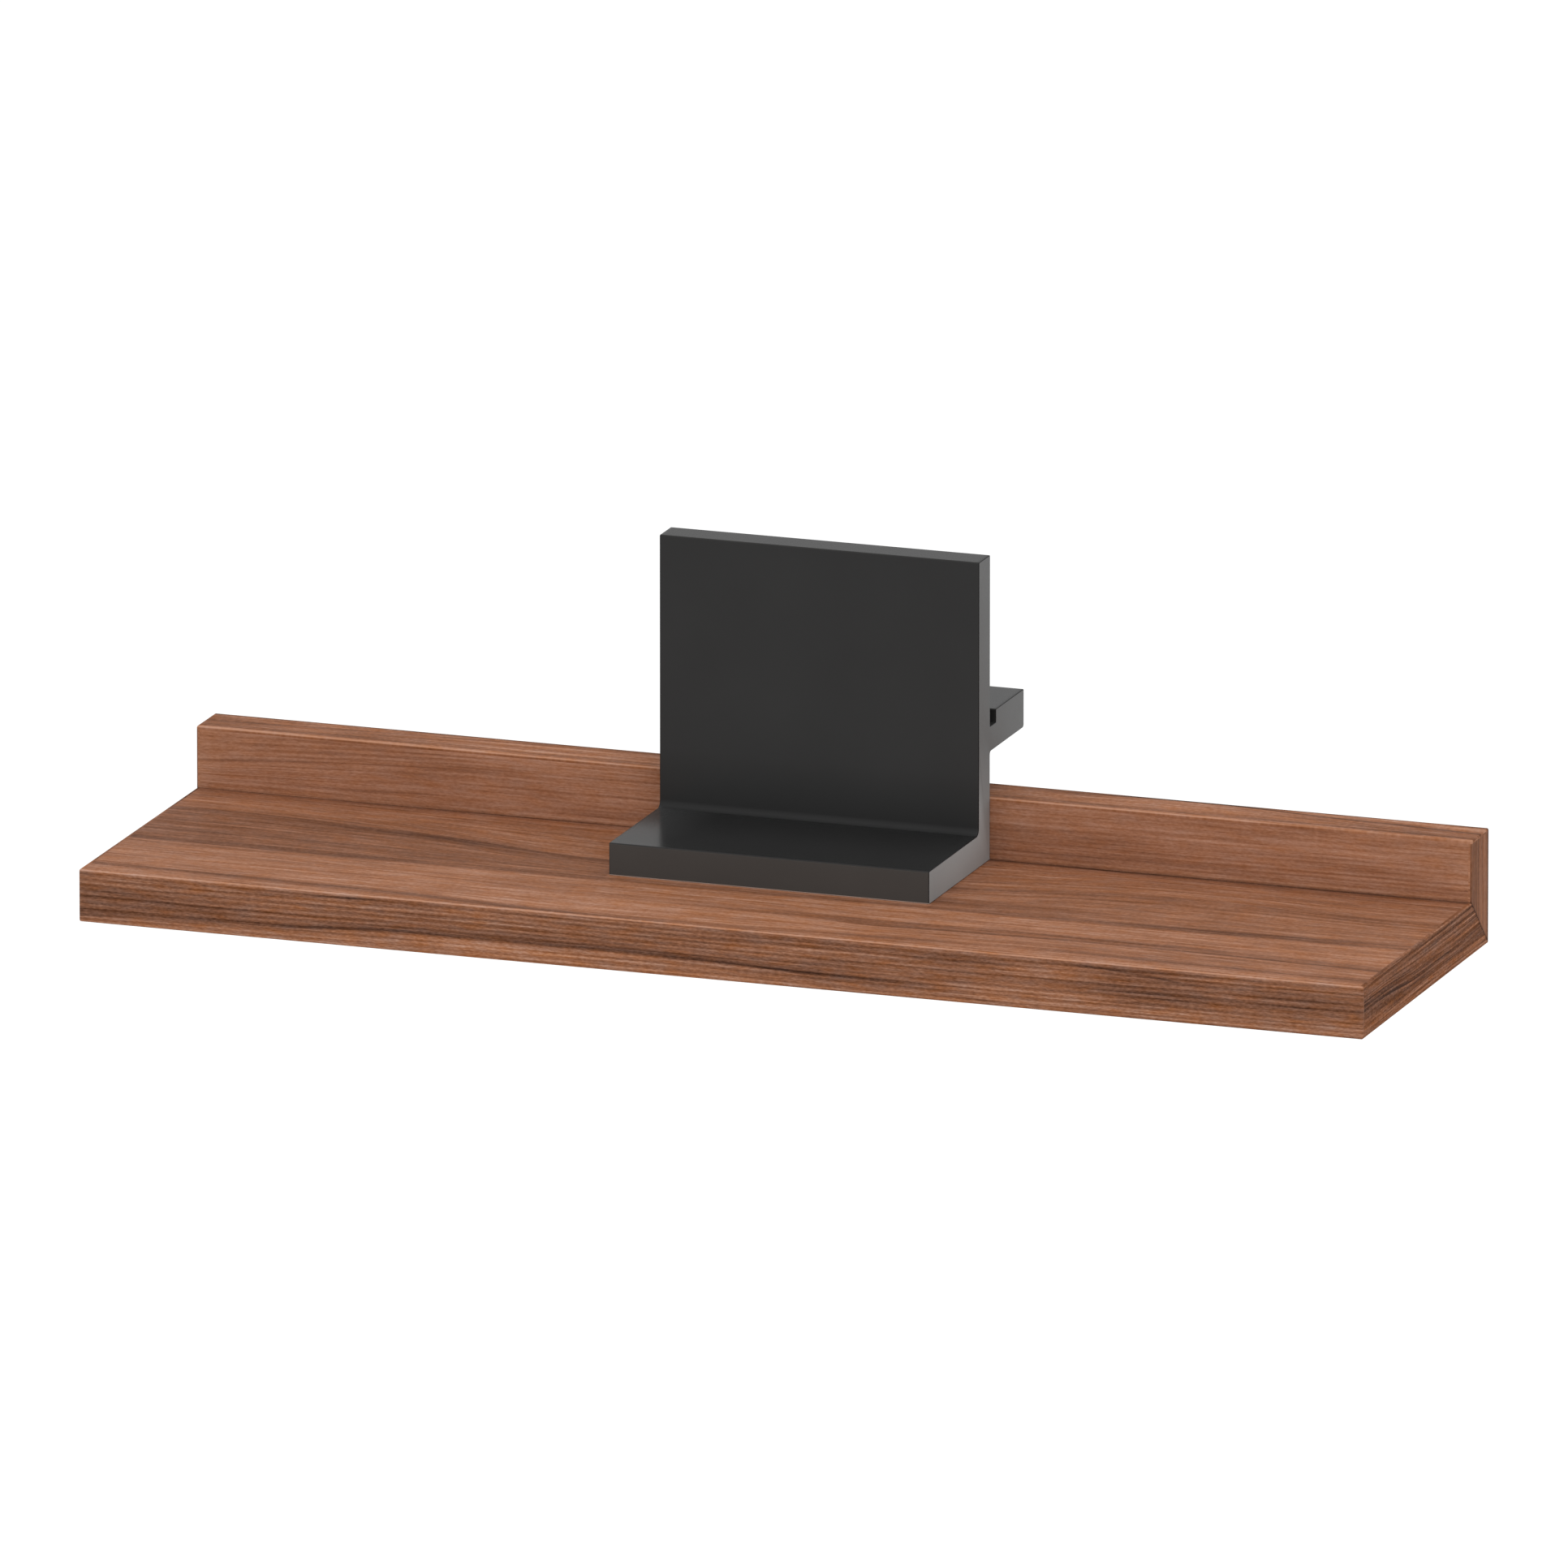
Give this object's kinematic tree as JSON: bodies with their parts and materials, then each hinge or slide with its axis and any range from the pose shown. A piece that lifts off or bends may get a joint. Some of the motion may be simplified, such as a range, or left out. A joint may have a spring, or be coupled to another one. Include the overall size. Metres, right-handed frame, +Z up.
{
  "type": "bathroom wall shelf",
  "caption": "Small walnut wall shelf with a mitred rear upstand, carried by a black extruded L-shaped bracket whose grooved arm hangs on a rail.",
  "frame": {"origin": "middle of the shelf's underside: half way along its length and half way across its depth of 116 mm, on the face it can rest on", "axes": "+X along the shelf, to the right as seen from the front; +Y towards the wall; +Z up"},
  "size_m": [0.4, 0.1304, 0.109],
  "materials": {
    "walnut_top": "satin lacquered walnut veneer, grain along the shelf",
    "walnut_underside": "satin lacquered walnut balancing veneer, grain along the shelf",
    "walnut_upstand": "satin lacquered walnut veneer, grain along the shelf",
    "walnut_front_band": "satin lacquered walnut edge band, fine dark streaks along the shelf",
    "walnut_top_band": "satin lacquered walnut edge band, grain along the shelf",
    "walnut_board_end": "satin lacquered walnut edge band, grain from front to back",
    "walnut_upstand_end": "satin lacquered walnut edge band, grain upwards",
    "core_board": "moisture-resistant fibreboard, sanded",
    "beech": "pressed beech",
    "black_bracket": "aluminium extrusion, satin black powder coat",
    "screw_steel": "stainless steel",
    "cap_plastic": "matte brown plastic"
  },
  "bodies": {
    "root": {"board_core": "core_board", "upstand_core": "core_board", "board_top_veneer": "walnut_top", "board_underside_veneer": "walnut_underside", "upstand_front_veneer": "walnut_upstand", "upstand_back_veneer": "walnut_upstand", "front_edge_band": "walnut_front_band", "upstand_top_band": "walnut_top_band", "board_left_band": "walnut_board_end", "board_right_band": "walnut_board_end", "upstand_left_band": "walnut_upstand_end", "upstand_right_band": "walnut_upstand_end", "mitre_biscuits": "beech", "rail_bracket": "black_bracket", "bracket_screws": "screw_steel", "screw_caps": "cap_plastic"}
  },
  "joints": []
}
